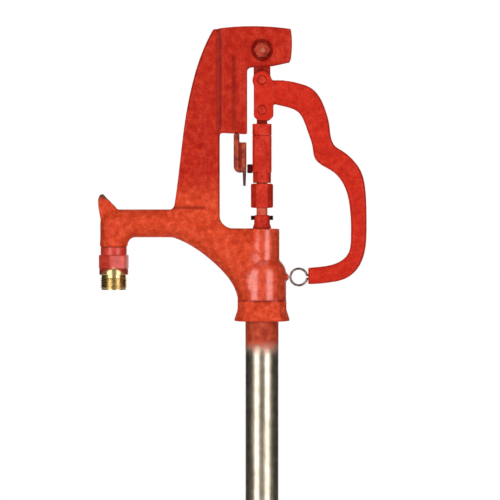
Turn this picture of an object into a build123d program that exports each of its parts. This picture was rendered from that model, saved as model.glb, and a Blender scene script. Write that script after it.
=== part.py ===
from build123d import *
import math
import os

os.makedirs("parts", exist_ok=True)

# Garden standpipe: a frost-proof yard hydrant with a cast head, a lever and toggle link, and a foot valve.
# Lengths are millimetres and angles are degrees. The origin is the centre of the inlet face at the foot.
# +Z runs up the casing pipe, the spout points to -X, the lever hangs on the +X side, and -Y is the front.
# Heights of the head's own pieces are measured up from the face of the head's wrench band.

# Clearances
fit_gap = 0.05
running_gap = 0.3
overrun = 5.0

# Foot valve
valve_height = 92.0
valve_socket_depth = 18.0
valve_barrel_radius = 17.7
valve_socket_flats = 40.0
valve_hexagon_flats = 36.0
valve_hexagon_height = 24.0
valve_chamber_radius = 14.5
inlet_radius = 12.1
inlet_depth = 16.0
seat_ledge = 3.0
seat_radius = 11.6
seat_bore_radius = 8.0
seat_height = 7.0
seat_lip_height = 2.0
seat_lip_width = 1.6
drain_height = 57.0
drain_thread_radius = 4.3
drain_thread_depth = 9.0
drain_hole_radius = 1.9
drain_boss_radius = 8.0
drain_boss_reach = 27.0
edge_break = 1.2

# Plunger
plunger_height = 26.0
plunger_stem_radius = 6.2
plunger_sleeve_wall = 3.4
plunger_skirt_gap = 4.0
plunger_gap = 0.5
plunger_rib = 3.0
plunger_ribs = 3
seal_radius = 9.9
seal_thickness = 3.6
seal_cup_wall = 1.3
o_ring_thickness = 2.6
o_ring_squeeze = 0.15
seal_screw_radius = 2.4
seal_screw_length = 12.0
seal_screw_head_radius = 4.2
seal_screw_head_height = 2.2
seal_washer_radius = 6.0
seal_washer_thickness = 1.2

# Casing pipe and operating rod
pipe_radius = 16.7
pipe_wall = 3.4
pipe_length = 743.0
rod_radius = 5.55
rod_thread_radius = 4.0
rod_thread_length = 13.0
rod_slide_gap = 0.08
guide_height = 14.0
guide_gap = 0.6
guide_slot_width = 7.0
guide_slots = 3
guide_share = 0.5

# Head casting: barrel, hub and wrench band
head_socket_depth = 22.0
barrel_radius = 24.7
barrel_shoulder = 49.0
hub_radius = 17.8
hub_foot = 61.6
hub_height = 93.6
band_height = 20.5
band_flare = 3.4
band_foot_rim = 1.6
band_flare_height = 12.0
band_flats = 41.6
band_flat_width = 34.6
band_side_depth = 24.0
dome_bulge_share = 0.22
chamber_radius = 13.3
chamber_height = 48.0
waterway_radius = 9.5
waterway_bend_radius = 22.0
waterway_turn_share = 0.52

# Head casting: arm, elbow and bucket horn
arm_radius = 14.2
arm_height = 98.6
spout_reach = 149.7
elbow_radius = 13.7
elbow_bend_radius = 22.0
elbow_drop = 23.9
spout_thread_radius = 10.6
spout_thread_depth = 17.0
horn_overhang = 15.8
horn_rise = 29.9
horn_width = 16.5
horn_thickness = 12.0

# Head casting: upright and hood
head_height = 297.0
upright_foot_reach = 88.0
upright_top_overlap = 5.4
upright_thickness = 26.0
upright_rounding = 4.0
upright_fillet = 9.0
upright_toe_rise = 7.3
window_step = 1.0
window_corner = 13.0
pad_height = 0.8
pad_bottom_share = 0.03
pad_top_share = 0.54
pad_reach = 57.5
hood_fold_reach = 43.6
hood_right_reach = 30.2
hood_drop = 108.4
hood_slot_reach = 14.9
hood_slot_drop = 5.0
hood_slot_corner = 4.0
hood_ear_drop = 36.0
hood_crown = 2.8
hood_left_share = 0.8
hood_bevel = 1.2
roof_thickness = 5.5
channel_width = 20.6
cheek_thickness = 5.2
channel_back_wall = 2.6
flute_height = 1.1
flute_width = 4.0
flute_reaches_share = (0.30, 0.55, 0.80)
bolt_recess_radius = 11.0
bolt_recess_depth = 1.3
lug_height = 5.6
lug_thickness = 5.0
lug_length = 2.6

# Toggle linkage
fulcrum_drop = 24.0
link_length = 30.0
link_width = 17.0
link_tongue = 8.0
pin_radius = 4.0
bolt_radius = 4.75
bolt_head_flats = 14.3
bolt_head_height = 6.0
bolt_end = 3.0
washer_radius = 10.0
washer_thickness = 1.6
nut_flats = 14.3
nut_height = 8.0

# Operating lever
root_boss_radius = 9.7
root_left_reach = 8.4
root_right_reach = 11.6
root_bottom_drop = 11.0
root_chamfer = 4.4
root_cheek = 5.0
lever_reach_share = 0.5126
lever_foot_height = 37.2
lever_thickness = 16.0
lever_rounding = 3.5
link_slot_reach = 29.0
link_slot_depth = 7.2

# Lock ring in the lever's tip
ring_radius = 8.4
ring_wire = 2.4
ring_height_share = 0.965
ring_leg_gap = 3.6
ring_leg_length = 7.0

# Rod eye, coupling, set screw and lock nut
eye_radius = 6.5
eye_width = 10.7
eye_foot_drop = 14.0
collar_share = 0.141
coupling_width = 19.4
coupling_corner = 2.6
coupling_square_share = 0.436
coupling_round_radius = 9.2
coupling_round_share = 0.126
eye_stem_radius = 4.6
eye_stem_length = 17.0
lock_nut_flats = 19.5
lock_nut_share = 0.290
lock_nut_drop = 0.6
bare_rod_height = 6.6
set_screw_share = 0.10
set_screw_radius = 3.0
set_screw_head = 9.0
set_screw_head_length = 5.2

# Packing nut, gland and rings
packing_nut_radius = 8.0
packing_nut_skirt_radius = 9.6
packing_nut_skirt_height = 4.9
packing_nut_height = 13.4
packing_thread_radius = 7.95
packing_thread_length = 13.6
gland_height = 4.0
packing_rings_count = 3
packing_ring_height = 3.0
rod_passage_gap = 0.7
gland_pin_radius = 2.2
gland_pin_reach = 11.2
gland_pin_height = 10.6
gland_pin_depth = 1.6

# Lock hook under the front cheek
hook_wire = 6.0
hook_pitch = 7.0
hook_reach = 25.6
hook_share = 0.41
hook_free_share = 0.087
hook_tail_share = 0.55
hook_tail_wire = 4.2
hook_tail_tip_share = 0.64
hook_tail_reach = 17.7
hook_shank_radius = 1.5
hook_shank_length = 12.0

# Hose nozzle
nozzle_neck_radius = 13.2
nozzle_neck_height = 7.7
nozzle_hexagon = 31.6
nozzle_hexagon_height = 14.3
nozzle_hexagon_turn = 19.0
nozzle_collar_radius = 14.6
nozzle_collar_height = 6.0
nozzle_thread_radius = 13.45
nozzle_thread_length = 15.0
nozzle_bore_radius = 9.0
nozzle_shank_length = 16.0
nozzle_lip = 1.0

# Heights that follow from the sizes above
valve_shoulder = valve_height - valve_socket_depth
pipe_top = valve_shoulder + pipe_length
head_base = pipe_top - head_socket_depth
seat_bottom = inlet_depth + seat_ledge
seat_top = seat_bottom + seat_height + seat_lip_height
plunger_bottom = seat_top
fulcrum_height = head_height - fulcrum_drop
link_pin_height = fulcrum_height - link_length
rod_pin_height = link_pin_height - link_length
collar_top = rod_pin_height - eye_foot_drop
stack_height = collar_top - lock_nut_drop - bare_rod_height - packing_nut_height - hub_height
coupling_top = collar_top - stack_height * collar_share
coupling_step = coupling_top - stack_height * coupling_square_share
coupling_bottom = coupling_step - stack_height * coupling_round_share
set_screw_height = coupling_step + stack_height * coupling_square_share * set_screw_share
lock_nut_top = coupling_bottom - lock_nut_drop
lock_nut_height = stack_height * lock_nut_share
hood_eave_height = head_height - hood_drop
hood_ear_height = head_height - hood_ear_drop
hood_slot_top = hood_ear_height - hood_slot_drop
eave_room = hood_eave_height - hub_height

# Reaches that follow from the sizes above
band_foot_radius = barrel_radius + band_flare
elbow_end = arm_height - elbow_drop
upright_top_reach = hood_fold_reach + upright_top_overlap
window_reach = hood_fold_reach - window_step
channel_back_reach = hood_fold_reach - channel_back_wall
lug_reach = barrel_radius + lug_length
ring_centre_reach = lug_reach + running_gap + ring_wire / 2 + ring_radius
ring_end_offset = math.sqrt(ring_radius ** 2 - (ring_leg_gap / 2) ** 2)
lever_tip_reach = ring_centre_reach + ring_end_offset + ring_wire / 2 + fit_gap
lever_drop = link_pin_height - lever_foot_height
lever_reach = lever_drop * lever_reach_share
ring_height = link_pin_height - lever_drop * ring_height_share
half_channel = channel_width / 2
cheek_face = half_channel + cheek_thickness
half_tongue = link_tongue / 2
fork_inside = half_tongue + running_gap
fork_outside = fork_inside + root_cheek
hex_corner_scale = 2 / math.sqrt(3)


def on_head(shape):
    """Lifts a piece modelled from the face of the wrench band to its place on the pipe."""
    return Pos(0, 0, head_base) * shape


def tube(radius, bottom, top, bore=0):
    """Upright cylinder between two heights, with an optional bore."""
    middle = (bottom + top) / 2
    body = Pos(0, 0, middle) * Cylinder(radius, top - bottom)
    if bore > 0:
        body -= Pos(0, 0, middle) * Cylinder(bore, top - bottom + 2 * overrun)
    return body


def block(left, right, front, back, bottom, top):
    """Box between named limits."""
    centre = Pos((left + right) / 2, (front + back) / 2, (bottom + top) / 2)
    return centre * Box(right - left, back - front, top - bottom)


def cross_pin(radius, front, back, x, height):
    """Cylinder along Y, from front to back."""
    return Pos(x, (front + back) / 2, height) * Rot(90, 0, 0) * Cylinder(radius, back - front)


def hexagon(flats, bottom, top):
    """Upright hexagonal prism of a given width across flats, with corners to the left and right."""
    corner = flats * hex_corner_scale / 2
    face = Pos(0, 0, bottom) * RegularPolygon(corner, 6)
    return extrude(face, amount=top - bottom)


def plate(outline, half_thickness):
    """Closed outline of the XZ plane, thickened to both sides of it."""
    return extrude(Plane.XZ * make_face(outline), amount=half_thickness, both=True)


def turned(outline):
    """Closed outline of radius and height, turned about the pipe's axis."""
    return revolve(Plane.XZ * make_face(outline), Axis.Z)


def rounded_plate(outline, half_thickness, rounding):
    """Plate whose front and back edges are rounded, as on a casting."""
    body = plate(outline, half_thickness)
    faces = body.faces().filter_by(Axis.Y)
    return fillet(faces.edges(), rounding)


# Foot valve

def make_valve_body():
    body = tube(valve_barrel_radius, 0, valve_shoulder)
    body += hexagon(valve_hexagon_flats, 0, valve_hexagon_height)
    body = chamfer(body.edges().group_by(Axis.Z)[0], edge_break)
    body += hexagon(valve_socket_flats, valve_shoulder - edge_break, valve_height)
    boss = Pos(drain_boss_reach / 2, 0, drain_height) * Rot(0, 90, 0)
    body += boss * Cylinder(drain_boss_radius, drain_boss_reach)
    body -= tube(pipe_radius + fit_gap, valve_shoulder, valve_height + overrun)
    body -= tube(valve_chamber_radius, seat_bottom + seat_height, valve_shoulder + overrun)
    body -= tube(seat_radius + fit_gap, seat_bottom, seat_bottom + seat_height + overrun)
    body -= tube(seat_radius - seat_lip_width, inlet_depth - overrun, seat_bottom + overrun)
    body -= tube(inlet_radius, -overrun, inlet_depth)
    drain = Pos(drain_boss_reach, 0, drain_height) * Rot(0, 90, 0)
    body -= drain * Cylinder(drain_thread_radius, 2 * drain_thread_depth)
    body -= drain * Cylinder(drain_hole_radius, 2 * (drain_boss_reach - valve_chamber_radius) + overrun)
    return body


def make_valve_seat():
    top = seat_bottom + seat_height
    seat = tube(seat_radius, seat_bottom, top)
    lip_radius = seat_bore_radius + seat_lip_width
    seat += Pos(0, 0, top) * Cylinder(lip_radius, 2 * seat_lip_height)
    return seat - tube(seat_bore_radius, seat_bottom - overrun, seat_top + overrun)


def make_plunger_body():
    outside = valve_chamber_radius - plunger_gap
    inside = outside - plunger_sleeve_wall
    cup_radius = seal_radius + seal_cup_wall
    cup_height = seal_thickness + seal_cup_wall
    skirt_bottom = cup_height + plunger_skirt_gap
    body = tube(plunger_stem_radius, 0, plunger_height)
    body += tube(cup_radius, 0, cup_height)
    body -= tube(seal_radius + fit_gap, -overrun, seal_thickness)
    sleeve = tube(outside, skirt_bottom, plunger_height, bore=inside)
    groove_bore = outside - o_ring_thickness + o_ring_squeeze
    for height in o_ring_heights():
        half = o_ring_thickness / 2
        sleeve -= tube(outside + overrun, height - half, height + half, bore=groove_bore)
    middle = (plunger_stem_radius + inside) / 2
    reach = inside - plunger_stem_radius + edge_break
    rib_height = plunger_height - skirt_bottom
    for number in range(plunger_ribs):
        place = Rot(0, 0, 360 * number / plunger_ribs) * Pos(middle, 0, skirt_bottom + rib_height / 2)
        body += place * Box(reach, plunger_rib, rib_height)
    body += sleeve
    body -= tube(rod_thread_radius + fit_gap, plunger_height - rod_thread_length, plunger_height + overrun)
    body -= tube(seal_screw_radius + fit_gap, -overrun, plunger_height - rod_thread_length - edge_break)
    return Pos(0, 0, plunger_bottom) * body


def o_ring_heights():
    """Heights of the two sealing rings on the plunger, which straddle the drain when it is lifted."""
    skirt_bottom = seal_thickness + seal_cup_wall + plunger_skirt_gap
    length = plunger_height - skirt_bottom
    return [skirt_bottom + length / 4, skirt_bottom + 3 * length / 4]


def make_plunger_o_rings():
    outside = valve_chamber_radius - plunger_gap + running_gap
    radius = outside - o_ring_thickness / 2
    rings = []
    for height in o_ring_heights():
        place = Pos(0, 0, plunger_bottom + height)
        rings.append(place * Torus(radius, o_ring_thickness / 2 - fit_gap))
    return Compound(children=rings)


def make_plunger_seal():
    seal = tube(seal_radius, 0, seal_thickness - fit_gap, bore=seal_screw_radius + fit_gap)
    seal -= tube(seal_washer_radius + fit_gap, -overrun, seal_washer_thickness)
    return Pos(0, 0, plunger_bottom) * seal


def make_seal_washer():
    bore = seal_screw_radius + fit_gap
    washer = tube(seal_washer_radius, 0, seal_washer_thickness - fit_gap, bore=bore)
    return Pos(0, 0, plunger_bottom) * washer


def make_seal_screw():
    top = seal_screw_length - seal_screw_head_height
    screw = tube(seal_screw_radius, 0, top)
    screw += tube(seal_screw_head_radius, -seal_screw_head_height, 0)
    return Pos(0, 0, plunger_bottom) * screw


# Casing pipe and operating rod

def make_casing_pipe():
    return tube(pipe_radius, valve_shoulder, pipe_top, bore=pipe_radius - pipe_wall)


def make_operating_rod():
    bottom = plunger_bottom + plunger_height
    top = head_base + coupling_top - eye_stem_length
    rod = tube(rod_radius, bottom, top)
    rod += tube(rod_thread_radius, bottom - rod_thread_length + fit_gap, bottom + overrun)
    return rod


def make_rod_guide():
    outside = pipe_radius - pipe_wall - guide_gap
    middle = valve_shoulder + pipe_length * guide_share
    bottom = middle - guide_height / 2
    guide = tube(outside, bottom, bottom + guide_height, bore=rod_radius + fit_gap)
    for number in range(guide_slots):
        slot_middle = outside + rod_radius / 2
        place = Rot(0, 0, 360 * number / guide_slots) * Pos(slot_middle, 0, middle)
        guide -= place * Box(rod_radius * 2, guide_slot_width, guide_height + 2 * overrun)
    return guide


# Head casting

def barrel_and_hub():
    dome_foot = (barrel_radius, barrel_shoulder)
    dome_top = (hub_radius, hub_foot)
    dome_middle_x = (barrel_radius + hub_radius) / 2 + (barrel_radius - hub_radius) * dome_bulge_share
    dome_middle = (dome_middle_x, (barrel_shoulder + hub_foot) / 2)
    outline = Polyline(
        (0, 0),
        (band_foot_radius, 0),
        (band_foot_radius, band_foot_rim),
        (barrel_radius, band_flare_height),
        dome_foot,
    )
    outline += ThreePointArc(dome_foot, dome_middle, dome_top)
    outline += Polyline(dome_top, (hub_radius, hub_height), (0, hub_height), (0, 0))
    return turned(outline)


def wrench_band():
    """Eight-sided band with broad flats at front and back, for the wrench that holds the head."""
    half_width = band_flat_width / 2
    half_flats = band_flats / 2
    half_side = band_side_depth / 2
    outline = Polyline(
        (-half_width, -half_flats),
        (half_width, -half_flats),
        (barrel_radius, -half_side),
        (barrel_radius, half_side),
        (half_width, half_flats),
        (-half_width, half_flats),
        (-barrel_radius, half_side),
        (-barrel_radius, -half_side),
        (-half_width, -half_flats),
    )
    return extrude(make_face(outline), amount=band_height)


def shoulder():
    """The throat that turns from the barrel into the arm, lofted through five leaning ellipses."""
    side_radius = barrel_radius - edge_break / 2
    # place along the run and the rise, lean, half width in the picture plane and half depth, as shares
    run = spout_reach - arm_radius
    rise = arm_height
    section_shares = (
        (0.000, 0.130, 0.00, 1.000, 1.000),
        (0.052, 0.452, 0.25, 0.985, 0.940),
        (0.178, 0.699, 0.50, 1.010, 0.830),
        (0.402, 0.885, 0.75, 0.800, 0.680),
        (0.665, 0.998, 1.00, 0.585, 0.570),
    )
    sections = []
    for along, up, lean, width, depth in section_shares:
        angle = math.radians(90 * lean)
        normal = (-math.sin(angle), 0, math.cos(angle))
        across = (math.cos(angle), 0, math.sin(angle))
        plane = Plane(origin=(-run * along, 0, rise * up), x_dir=across, z_dir=normal)
        sections.append(plane * Ellipse(side_radius * width, side_radius * depth))
    return loft(sections)


def arm_and_elbow():
    arm = Pos(-spout_reach / 2, 0, arm_height) * Rot(0, 90, 0)
    body = Pos(-spout_reach / 4, 0, 0) * arm * Cylinder(arm_radius, spout_reach / 2)
    dome_centre = arm_height + arm_radius - elbow_radius
    elbow = tube(elbow_radius, elbow_end, dome_centre)
    elbow += Pos(0, 0, dome_centre) * Sphere(elbow_radius)
    body += Pos(-spout_reach, 0, 0) * elbow
    bend_tube = arm_radius - fit_gap
    start = (-spout_reach + 2 * elbow_bend_radius, 0, arm_height)
    corner = (-spout_reach, 0, arm_height)
    end = (-spout_reach, 0, elbow_end + edge_break)
    path = FilletPolyline(start, corner, end, radius=elbow_bend_radius)
    bend = sweep(Plane(origin=start, z_dir=(-1, 0, 0)) * Circle(bend_tube), path=path)
    return body + bend


def bucket_horn():
    """Upstanding horn on the elbow that keeps a bucket's bail from slipping off the spout."""
    # shares of the horn's width in from its back, and of its rise above the arm's centre line
    corner_shares = ((0.20, 0.00), (0.02, 0.55), (0.00, 0.80), (0.10, 0.96), (0.30, 1.00), (0.52, 0.86),
                     (1.00, 0.60), (1.30, 0.40), (1.30, 0.00))
    points = []
    for across, up in corner_shares:
        points.append((-spout_reach - horn_overhang + horn_width * across, arm_height + horn_rise * up))
    return rounded_plate(Polyline(*points, points[0]), horn_thickness / 2, edge_break)


def upright_edge():
    """Curved outer edge of the upright, from the arm up to the roof."""
    foot_height = arm_height + arm_radius - edge_break
    top_height = head_height - hood_crown
    edge_shares = ((0.140, 0.27), (0.270, 0.495), (0.487, 0.725), (0.85, 0.94), (1.0, 1.0))
    points = [(-upright_foot_reach, foot_height + upright_toe_rise)]
    for across, up in edge_shares:
        x = -upright_foot_reach + (upright_foot_reach - upright_top_reach) * across
        points.append((x, foot_height + (top_height - foot_height) * up))
    return points


def upright_outline():
    edge = upright_edge()
    inner_reach = hood_fold_reach - 2 * hood_slot_corner
    eave = hood_eave_height + 2 * edge_break
    toe = (edge[0][0] - upright_fillet, arm_height + arm_radius - edge_break)
    toe_middle = (edge[0][0] - upright_fillet / 4, toe[1] + upright_fillet / 4)
    outline = Polyline((-window_reach, arm_height), (toe[0], arm_height), toe)
    outline += ThreePointArc(toe, toe_middle, edge[0])
    outline += Spline(*edge)
    outline += Polyline(
        edge[-1],
        (-inner_reach, edge[-1][1]),
        (-inner_reach, eave),
        (-window_reach, eave),
        (-window_reach, arm_height),
    )
    return outline


def hood_outline():
    roof_left = (-hood_fold_reach, head_height - hood_crown * hood_left_share)
    roof_right = (hood_right_reach - edge_break, head_height - hood_crown)
    roof_middle = ((roof_left[0] + roof_right[0]) / 2, head_height)
    slot_corner = (-hood_slot_reach, hood_slot_top - hood_slot_corner)
    slot_top = (-hood_slot_reach + hood_slot_corner, hood_slot_top)
    bend = hood_slot_corner * (1 - math.sqrt(0.5))
    slot_middle = (-hood_slot_reach + bend, hood_slot_top - bend)
    outline = ThreePointArc(roof_left, roof_middle, roof_right)
    ear_top = (hood_right_reach - edge_break, hood_ear_height + 2 * edge_break)
    outline += ThreePointArc(roof_right, (hood_right_reach, (head_height + hood_ear_height) / 2), ear_top)
    outline += Polyline(
        ear_top,
        (hood_right_reach - 2 * edge_break, hood_ear_height),
        (bolt_recess_radius, (hood_slot_top + hood_ear_height) / 2 - edge_break),
        slot_top,
    )
    outline += ThreePointArc(slot_top, slot_middle, slot_corner)
    outline += Polyline(
        slot_corner,
        (-hood_slot_reach, hood_eave_height),
        (-hood_slot_reach - hood_slot_corner, hood_eave_height),
        (-hood_fold_reach + hood_slot_corner, hood_eave_height + edge_break),
        (-hood_fold_reach, hood_eave_height),
        roof_left,
    )
    return outline


def cheek_flutes():
    """Shallow upright ribs cast on the front and back cheeks, between the fold and the slot."""
    width = hood_fold_reach - hood_slot_reach
    bottom = hood_eave_height + 3 * edge_break
    top = hood_slot_top + hood_slot_corner
    ribs = []
    for share in flute_reaches_share:
        x = -hood_fold_reach + width * share
        for side in (-1, 1):
            rib = Pos(x, side * cheek_face, (bottom + top) / 2) * Cylinder(flute_width / 2, top - bottom)
            depth = flute_width / 2 - flute_height
            ribs.append(Pos(0, -side * depth, 0) * rib)
    return ribs


def make_head_casting():
    body = barrel_and_hub() + shoulder() + arm_and_elbow()
    wide = band_foot_radius + overrun
    for side in (-1, 1):
        near, far = side * band_flats / 2, side * wide
        body -= block(-wide, wide, min(near, far), max(near, far), -overrun, band_height)
    body += wrench_band()
    body += rounded_plate(upright_outline(), upright_thickness / 2, upright_rounding)
    hood = plate(hood_outline(), cheek_face)
    body += chamfer(hood.faces().filter_by(Axis.Y).edges(), hood_bevel)
    body += bucket_horn()
    pad = plate(upright_outline(), upright_thickness / 2 + pad_height)
    arm_top = arm_height + arm_radius
    pad_bottom = arm_top + (head_height - arm_top) * pad_bottom_share
    pad_top = arm_top + (head_height - arm_top) * pad_top_share
    keep = block(-spout_reach, -pad_reach, -upright_thickness, upright_thickness, pad_bottom, pad_top)
    body += pad & keep
    for rib in cheek_flutes():
        body += rib
    body += block(hub_radius, lug_reach, -lug_thickness / 2, lug_thickness / 2,
                  ring_height - lug_height / 2, ring_height + lug_height / 2)
    window = Polyline(
        (-window_reach, hood_eave_height),
        (-window_reach, hub_height + window_corner),
    )
    turn = window_corner * (1 - math.sqrt(0.5))
    window += ThreePointArc(
        (-window_reach, hub_height + window_corner),
        (-window_reach + turn, hub_height + turn),
        (-window_reach + window_corner, hub_height),
    )
    window += Polyline(
        (-window_reach + window_corner, hub_height),
        (lever_reach, hub_height),
        (lever_reach, hood_eave_height),
        (-window_reach, hood_eave_height),
    )
    body -= plate(window, barrel_radius + overrun)
    body -= block(-channel_back_reach, lever_reach, -half_channel, half_channel,
                  hub_height + overrun, head_height - roof_thickness)
    body -= cross_pin(bolt_radius + fit_gap, -cheek_face - overrun, cheek_face + overrun, 0, fulcrum_height)
    body -= cross_pin(bolt_recess_radius, -cheek_face - overrun, -cheek_face + bolt_recess_depth, 0,
                      fulcrum_height)
    body -= waterway()
    body -= tube(pipe_radius + fit_gap, -overrun, head_socket_depth)
    body -= tube(packing_thread_radius + fit_gap, packing_floor(), hub_height + overrun)
    body -= tube(rod_radius + rod_passage_gap, chamber_height, packing_floor() + overrun)
    hook_y = -(half_channel + cheek_thickness / 2)
    hook_place = Pos(-hook_reach, hook_y, hood_eave_height)
    body -= hook_place * Cylinder(hook_shank_radius + fit_gap, 2 * (hook_shank_length + fit_gap))
    return on_head(body)


def waterway():
    """Passage from the pipe socket through barrel, arm and elbow to the nozzle's thread."""
    start = (0, 0, head_socket_depth)
    throat = (0, 0, chamber_height)
    arm_start = (-spout_reach * waterway_turn_share, 0, arm_height)
    corner = (-spout_reach, 0, arm_height)
    end = (-spout_reach, 0, elbow_end - overrun)
    bends = [waterway_bend_radius, waterway_bend_radius, waterway_radius + edge_break]
    path = FilletPolyline(start, throat, arm_start, corner, end, radius=bends)
    passage = sweep(Plane(origin=start, z_dir=(0, 0, 1)) * Circle(waterway_radius), path=path)
    passage += tube(chamber_radius, head_socket_depth - overrun, chamber_height)
    thread = tube(spout_thread_radius + fit_gap, elbow_end - overrun, elbow_end + spout_thread_depth)
    passage += Pos(-spout_reach, 0, 0) * thread
    return passage


# Packing nut, gland and rings

def packing_floor():
    stack = packing_thread_length + gland_height + packing_rings_count * packing_ring_height
    return hub_height - stack


def make_packing_nut():
    seat = hub_height
    bore = rod_radius + rod_slide_gap
    skirt = Pos(0, 0, seat + packing_nut_skirt_height / 2)
    nut = skirt * Cone(packing_nut_skirt_radius, packing_nut_radius, packing_nut_skirt_height)
    nut += tube(packing_nut_radius, seat + packing_nut_skirt_height / 2, seat + packing_nut_height)
    nut = chamfer(nut.edges().group_by(Axis.Z)[-1], edge_break / 2)
    nut += tube(packing_thread_radius, seat - packing_thread_length, seat + edge_break)
    nut -= tube(bore, seat - packing_thread_length - overrun, seat + packing_nut_height + overrun)
    for side in (-1, 1):
        hole = Pos(side * packing_nut_radius, 0, seat + gland_pin_height) * Rot(0, 90, 0)
        nut -= hole * Cylinder(gland_pin_radius + fit_gap, 2 * gland_pin_depth)
    return on_head(nut)


def make_gland_pins():
    pins = []
    inner = packing_nut_radius - gland_pin_depth + fit_gap
    for side in (-1, 1):
        place = Pos(side * (inner + gland_pin_reach) / 2, 0, hub_height + gland_pin_height) * Rot(0, 90, 0)
        pin = place * Cylinder(gland_pin_radius, gland_pin_reach - inner)
        pins.append(on_head(pin))
    return Compound(children=pins)


def make_packing_gland():
    top = hub_height - packing_thread_length
    return on_head(tube(packing_thread_radius, top - gland_height, top, bore=rod_radius + rod_slide_gap))


def make_packing_rings():
    rings = []
    for number in range(packing_rings_count):
        bottom = packing_floor() + number * packing_ring_height
        ring = tube(packing_thread_radius, bottom, bottom + packing_ring_height - fit_gap,
                    bore=rod_radius + rod_slide_gap)
        rings.append(on_head(ring))
    return Compound(children=rings)


# Toggle linkage

def make_fulcrum_bolt():
    seat = -cheek_face + bolt_recess_depth
    end = cheek_face + washer_thickness + nut_height + bolt_end
    bolt = cross_pin(bolt_radius, seat, end, 0, fulcrum_height)
    head = hexagon(bolt_head_flats, 0, bolt_head_height)
    head = chamfer(head.edges().group_by(Axis.Z)[-1], edge_break / 2)
    bolt += Pos(0, seat, fulcrum_height) * Rot(90, 0, 0) * head
    return on_head(bolt)


def make_fulcrum_washer():
    washer = cross_pin(washer_radius, cheek_face, cheek_face + washer_thickness, 0, fulcrum_height)
    return on_head(washer - cross_pin(bolt_radius + fit_gap, 0, cheek_face + overrun, 0, fulcrum_height))


def make_fulcrum_nut():
    nut = hexagon(nut_flats, 0, nut_height)
    nut = chamfer(nut.edges().group_by(Axis.Z)[-1], edge_break / 2)
    nut = Pos(0, cheek_face + washer_thickness, fulcrum_height) * Rot(-90, 0, 0) * nut
    return on_head(nut - cross_pin(bolt_radius + fit_gap, 0, 2 * cheek_face, 0, fulcrum_height))


def make_fulcrum_link():
    half_barrel = half_channel - running_gap
    eye = link_width / 2
    barrel = cross_pin(eye, -half_barrel, half_barrel, 0, fulcrum_height)
    tongue = block(-eye, eye, -half_tongue, half_tongue, link_pin_height, fulcrum_height)
    tongue += cross_pin(eye, -half_tongue, half_tongue, 0, link_pin_height)
    link = barrel + tongue
    link -= cross_pin(bolt_radius + fit_gap, -cheek_face, cheek_face, 0, fulcrum_height)
    link -= cross_pin(pin_radius + fit_gap, -cheek_face, cheek_face, 0, link_pin_height)
    return on_head(link)


def lever_point(shares):
    """Place on the lever from shares of its reach from the rod and its drop below the link pin."""
    across, down = shares
    return (lever_reach * across, link_pin_height - lever_drop * down)


def foot_point(shares):
    """Place on the lever's foot from shares of the way from its tip to its full reach and of its drop."""
    across, down = shares
    x = lever_tip_reach + (lever_reach - lever_tip_reach) * across
    return (x, link_pin_height - lever_drop * down)


def lever_outline():
    top_shares = ((0.08, 0.001), (0.250, 0.003), (0.360, 0.016), (0.469, 0.038), (0.550, 0.082),
                  (0.606, 0.145), (0.643, 0.215), (0.668, 0.295))
    grip_shares = ((0.704, 0.325), (0.762, 0.344), (0.819, 0.365), (0.876, 0.393), (0.943, 0.442),
                   (0.987, 0.527), (1.000, 0.650), (0.999, 0.770), (0.979, 0.850))
    foot_shares = ((0.848, 0.923), (0.705, 0.962), (0.562, 0.981), (0.388, 0.991), (0.217, 0.997),
                   (0.0, 1.0))
    instep_shares = ((0.0, 0.920), (0.217, 0.914), (0.413, 0.904), (0.582, 0.882), (0.694, 0.845))
    palm_shares = ((0.850, 0.785), (0.850, 0.692), (0.837, 0.612), (0.818, 0.562), (0.770, 0.502),
                   (0.705, 0.460), (0.625, 0.432), (0.558, 0.412), (0.505, 0.382))
    crook_shares = ((0.483, 0.328), (0.454, 0.276), (0.427, 0.237), (0.398, 0.197), (0.348, 0.158),
                    (0.262, 0.136), (0.080, 0.110))
    top = [lever_point(pair) for pair in top_shares]
    grip = [lever_point(pair) for pair in grip_shares] + [foot_point(pair) for pair in foot_shares]
    palm = [foot_point(pair) for pair in instep_shares] + [lever_point(pair) for pair in palm_shares]
    crook = [lever_point(pair) for pair in crook_shares]
    outline = Spline(*top, *grip)
    outline += Line(grip[-1], palm[0])
    outline += Spline(*palm, *crook)
    outline += Line(crook[-1], top[0])
    return outline


def make_lever():
    left = -root_left_reach
    bottom = rod_pin_height - root_bottom_drop
    root = plate(Polyline(
        (left, link_pin_height),
        (left, bottom + root_chamfer),
        (left + root_chamfer, bottom),
        (root_right_reach - root_chamfer, bottom),
        (root_right_reach, bottom + root_chamfer),
        (root_right_reach, link_pin_height),
        (left, link_pin_height),
    ), fork_outside)
    root += cross_pin(root_boss_radius, -fork_outside, fork_outside, 0, link_pin_height)
    lever = root + rounded_plate(lever_outline(), lever_thickness / 2, lever_rounding)
    web = eye_radius + 2 * running_gap
    link_room = link_width / 2 + 2 * running_gap
    above = link_pin_height + link_room + overrun
    below = bottom - overrun
    lever -= block(-root_boss_radius - overrun, web, -fork_inside, fork_inside, below, link_pin_height)
    lever -= cross_pin(link_room, -fork_inside, fork_inside, 0, link_pin_height)
    lever -= block(-root_boss_radius - overrun, link_slot_reach, -fork_inside, fork_inside,
                   link_pin_height - link_slot_depth, above)
    lever -= cross_pin(pin_radius + fit_gap, -2 * fork_outside, 2 * fork_outside, 0, link_pin_height)
    lever -= cross_pin(pin_radius + fit_gap, -2 * fork_outside, 2 * fork_outside, 0, rod_pin_height)
    for side in (-1, 1):
        leg_height = ring_height + side * ring_leg_gap / 2
        hole = Pos(lever_tip_reach, 0, leg_height) * Rot(0, 90, 0)
        lever -= hole * Cylinder(ring_wire / 2 + fit_gap, 2 * (ring_leg_length + fit_gap))
    return on_head(lever)


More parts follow.
